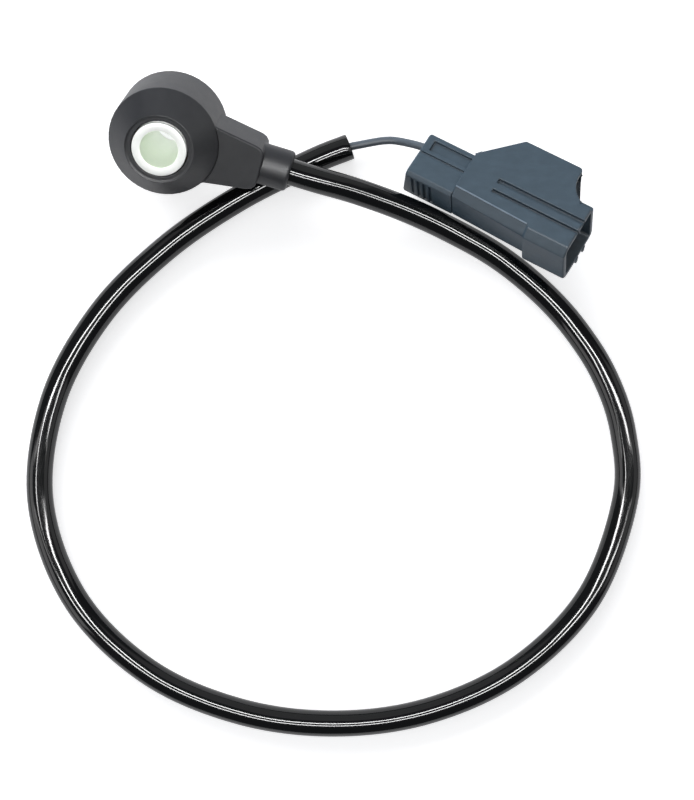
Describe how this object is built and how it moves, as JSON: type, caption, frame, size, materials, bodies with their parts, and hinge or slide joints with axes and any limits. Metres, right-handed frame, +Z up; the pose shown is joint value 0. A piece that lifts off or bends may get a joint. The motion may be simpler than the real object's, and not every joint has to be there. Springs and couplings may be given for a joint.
{
  "type": "engine knock sensor",
  "caption": "Ring-shaped piezo knock sensor with a through-bolt bush, a sleeved lead laid in a loop and a flat two-pole connector with a side fin.",
  "frame": {"origin": "on the bench under the sensor head, within 1 mm of the middle of the head's box as it lies", "axes": "+X roughly along the head's neck towards its lead, +Z up from the bench"},
  "size_m": [0.141, 0.1516, 0.0252],
  "materials": {
    "head_moulding": "satin black glass-filled polyamide, moulded",
    "bush_steel": "bright zinc-plated steel, turned",
    "insulating_film": "amber polyimide film",
    "contact_brass": "tinned brass, stamped",
    "piezo_ceramic": "pressed and fired ceramic",
    "stack_steel": "plain sintered steel",
    "spring_steel": "hardened spring steel",
    "red_insulation": "red wire insulation",
    "white_insulation": "white wire insulation",
    "glossy_sleeving": "glossy black extruded sleeving",
    "cable_jacket": "grey cable jacket",
    "connector_moulding": "blue-grey glass-filled polyester, moulded",
    "seal_silicone": "soft silicone",
    "tinned_copper": "tinned copper alloy, stamped",
    "lock_moulding": "dark polyester, moulded"
  },
  "bodies": {
    "root": {"sensor_housing": "head_moulding", "mounting_sleeve": "bush_steel", "insulating_liner": "insulating_film", "lower_insulator": "insulating_film", "lower_contact_plate": "contact_brass", "piezo_ring": "piezo_ceramic", "upper_contact_plate": "contact_brass", "upper_insulator": "insulating_film", "seismic_mass": "stack_steel", "disc_spring": "spring_steel", "retaining_nut": "stack_steel", "signal_crimp": "contact_brass", "return_crimp": "contact_brass", "signal_lead": "red_insulation", "return_lead": "white_insulation", "protective_sleeve": "glossy_sleeving", "signal_cable": "cable_jacket", "connector_housing": "connector_moulding", "connector_rear_cover": "connector_moulding", "cable_seal": "seal_silicone", "signal_core": "red_insulation", "return_core": "white_insulation", "signal_terminal": "tinned_copper", "return_terminal": "tinned_copper", "terminal_lock": "lock_moulding"}
  },
  "joints": []
}
